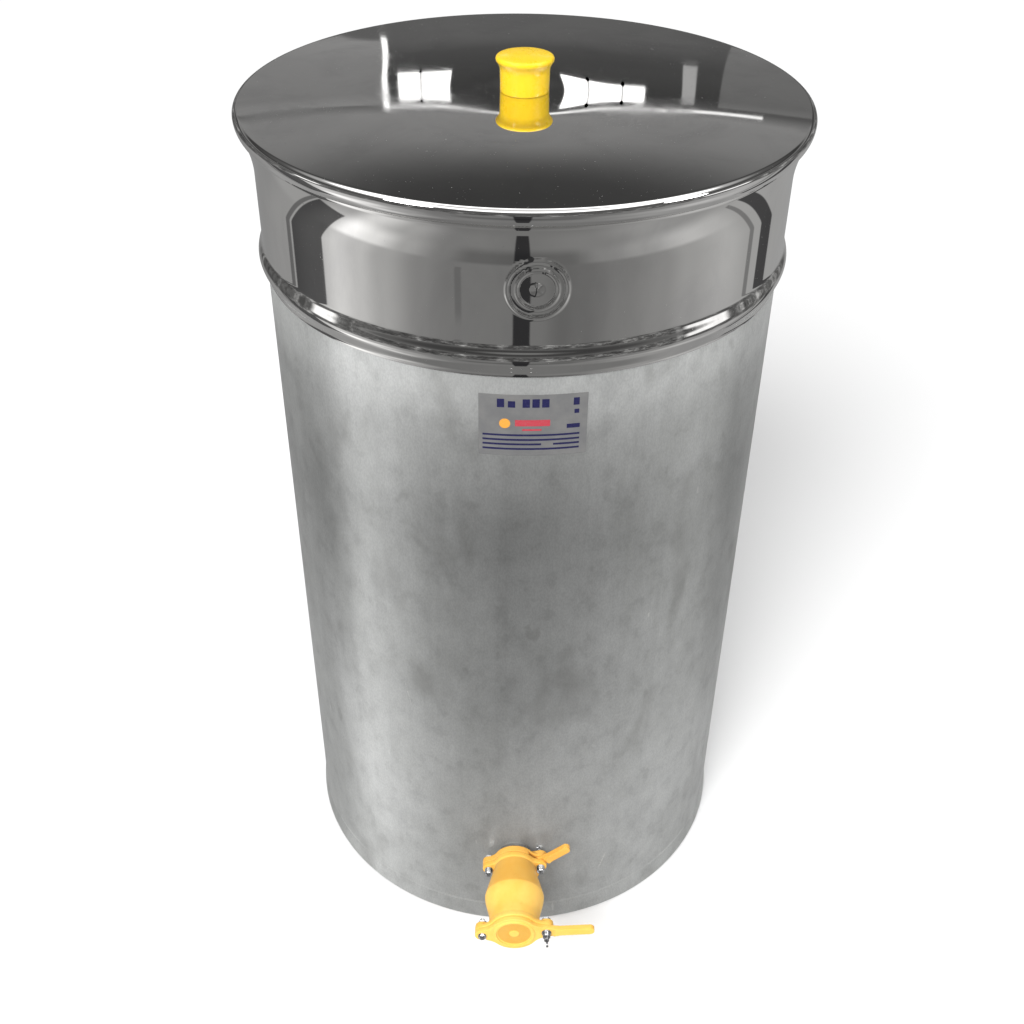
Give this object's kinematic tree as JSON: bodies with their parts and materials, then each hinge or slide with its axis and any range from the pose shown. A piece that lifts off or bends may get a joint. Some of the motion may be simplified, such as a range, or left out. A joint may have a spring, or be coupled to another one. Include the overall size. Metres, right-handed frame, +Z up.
{
  "type": "honey settling tank",
  "caption": "Tall cylindrical stainless honey tank with a flared polished collar, a lift-off lid with a knob, and a double gate valve near the floor.",
  "frame": {"origin": "on the tank's axis, on the flat underside of the bottom pan, at floor level", "axes": "+Z up along the tank's axis; the valve points along -Y; the gate levers stand out towards +X"},
  "size_m": [0.5111, 0.6084, 0.8964],
  "materials": {
    "satin_steel": "matte rolled stainless sheet with faint vertical grain and smudges",
    "mirror_steel": "mirror-polished stainless",
    "fastener_steel": "bright stainless",
    "valve_plastic": "semi-gloss moulded yellow plastic",
    "knob_plastic": "gloss moulded yellow plastic",
    "gasket_rubber": "matte",
    "label_film": "thin silvery grey film"
  },
  "bodies": {
    "tank": {"tank_shell": "satin_steel", "tank_bottom": "satin_steel", "top_collar": "mirror_steel", "capacity_label": "label_film", "outlet_nipple": "satin_steel", "outlet_gasket": "gasket_rubber", "seat_flange": "valve_plastic", "valve_body": "valve_plastic", "rear_pivot_bolt": "fastener_steel", "rear_catch_bolt": "fastener_steel", "rear_catch_nut": "fastener_steel", "rear_pivot_washer": "fastener_steel", "front_pivot_bolt": "fastener_steel", "front_catch_bolt": "fastener_steel", "front_catch_nut": "fastener_steel", "front_pivot_washer": "fastener_steel"},
    "lid": {"lid": "mirror_steel", "lid_knob": "knob_plastic", "knob_washer": "fastener_steel", "knob_screw": "fastener_steel"},
    "front_gate": {"front_gate_blade": "valve_plastic"},
    "rear_gate": {"rear_gate_blade": "valve_plastic"},
    "front_nut": {"front_wing_nut": "fastener_steel"},
    "rear_nut": {"rear_wing_nut": "fastener_steel"}
  },
  "joints": [
    {"name": "lid_lift", "type": "slide", "parent": "tank", "child": "lid", "axis": [0, 0, 1], "range_m": [0, 0.35]},
    {"name": "front_gate_swing", "type": "hinge", "parent": "tank", "child": "front_gate", "pos_m": [0.03285, -0.3396, 0.11916], "axis": [0, 1, 0], "range_deg": [0, 80]},
    {"name": "rear_gate_swing", "type": "hinge", "parent": "tank", "child": "rear_gate", "pos_m": [0.02787, -0.2524, 0.11868], "axis": [0, 1, 0], "range_deg": [-44, 36]},
    {"name": "front_wing_nut_turn", "type": "hinge", "parent": "tank", "child": "front_nut", "pos_m": [0.03285, -0.345, 0.11916], "axis": [0, 1, 0], "continuous": true},
    {"name": "rear_wing_nut_turn", "type": "hinge", "parent": "tank", "child": "rear_nut", "pos_m": [0.02787, -0.241, 0.11868], "axis": [0, 1, 0], "continuous": true}
  ]
}
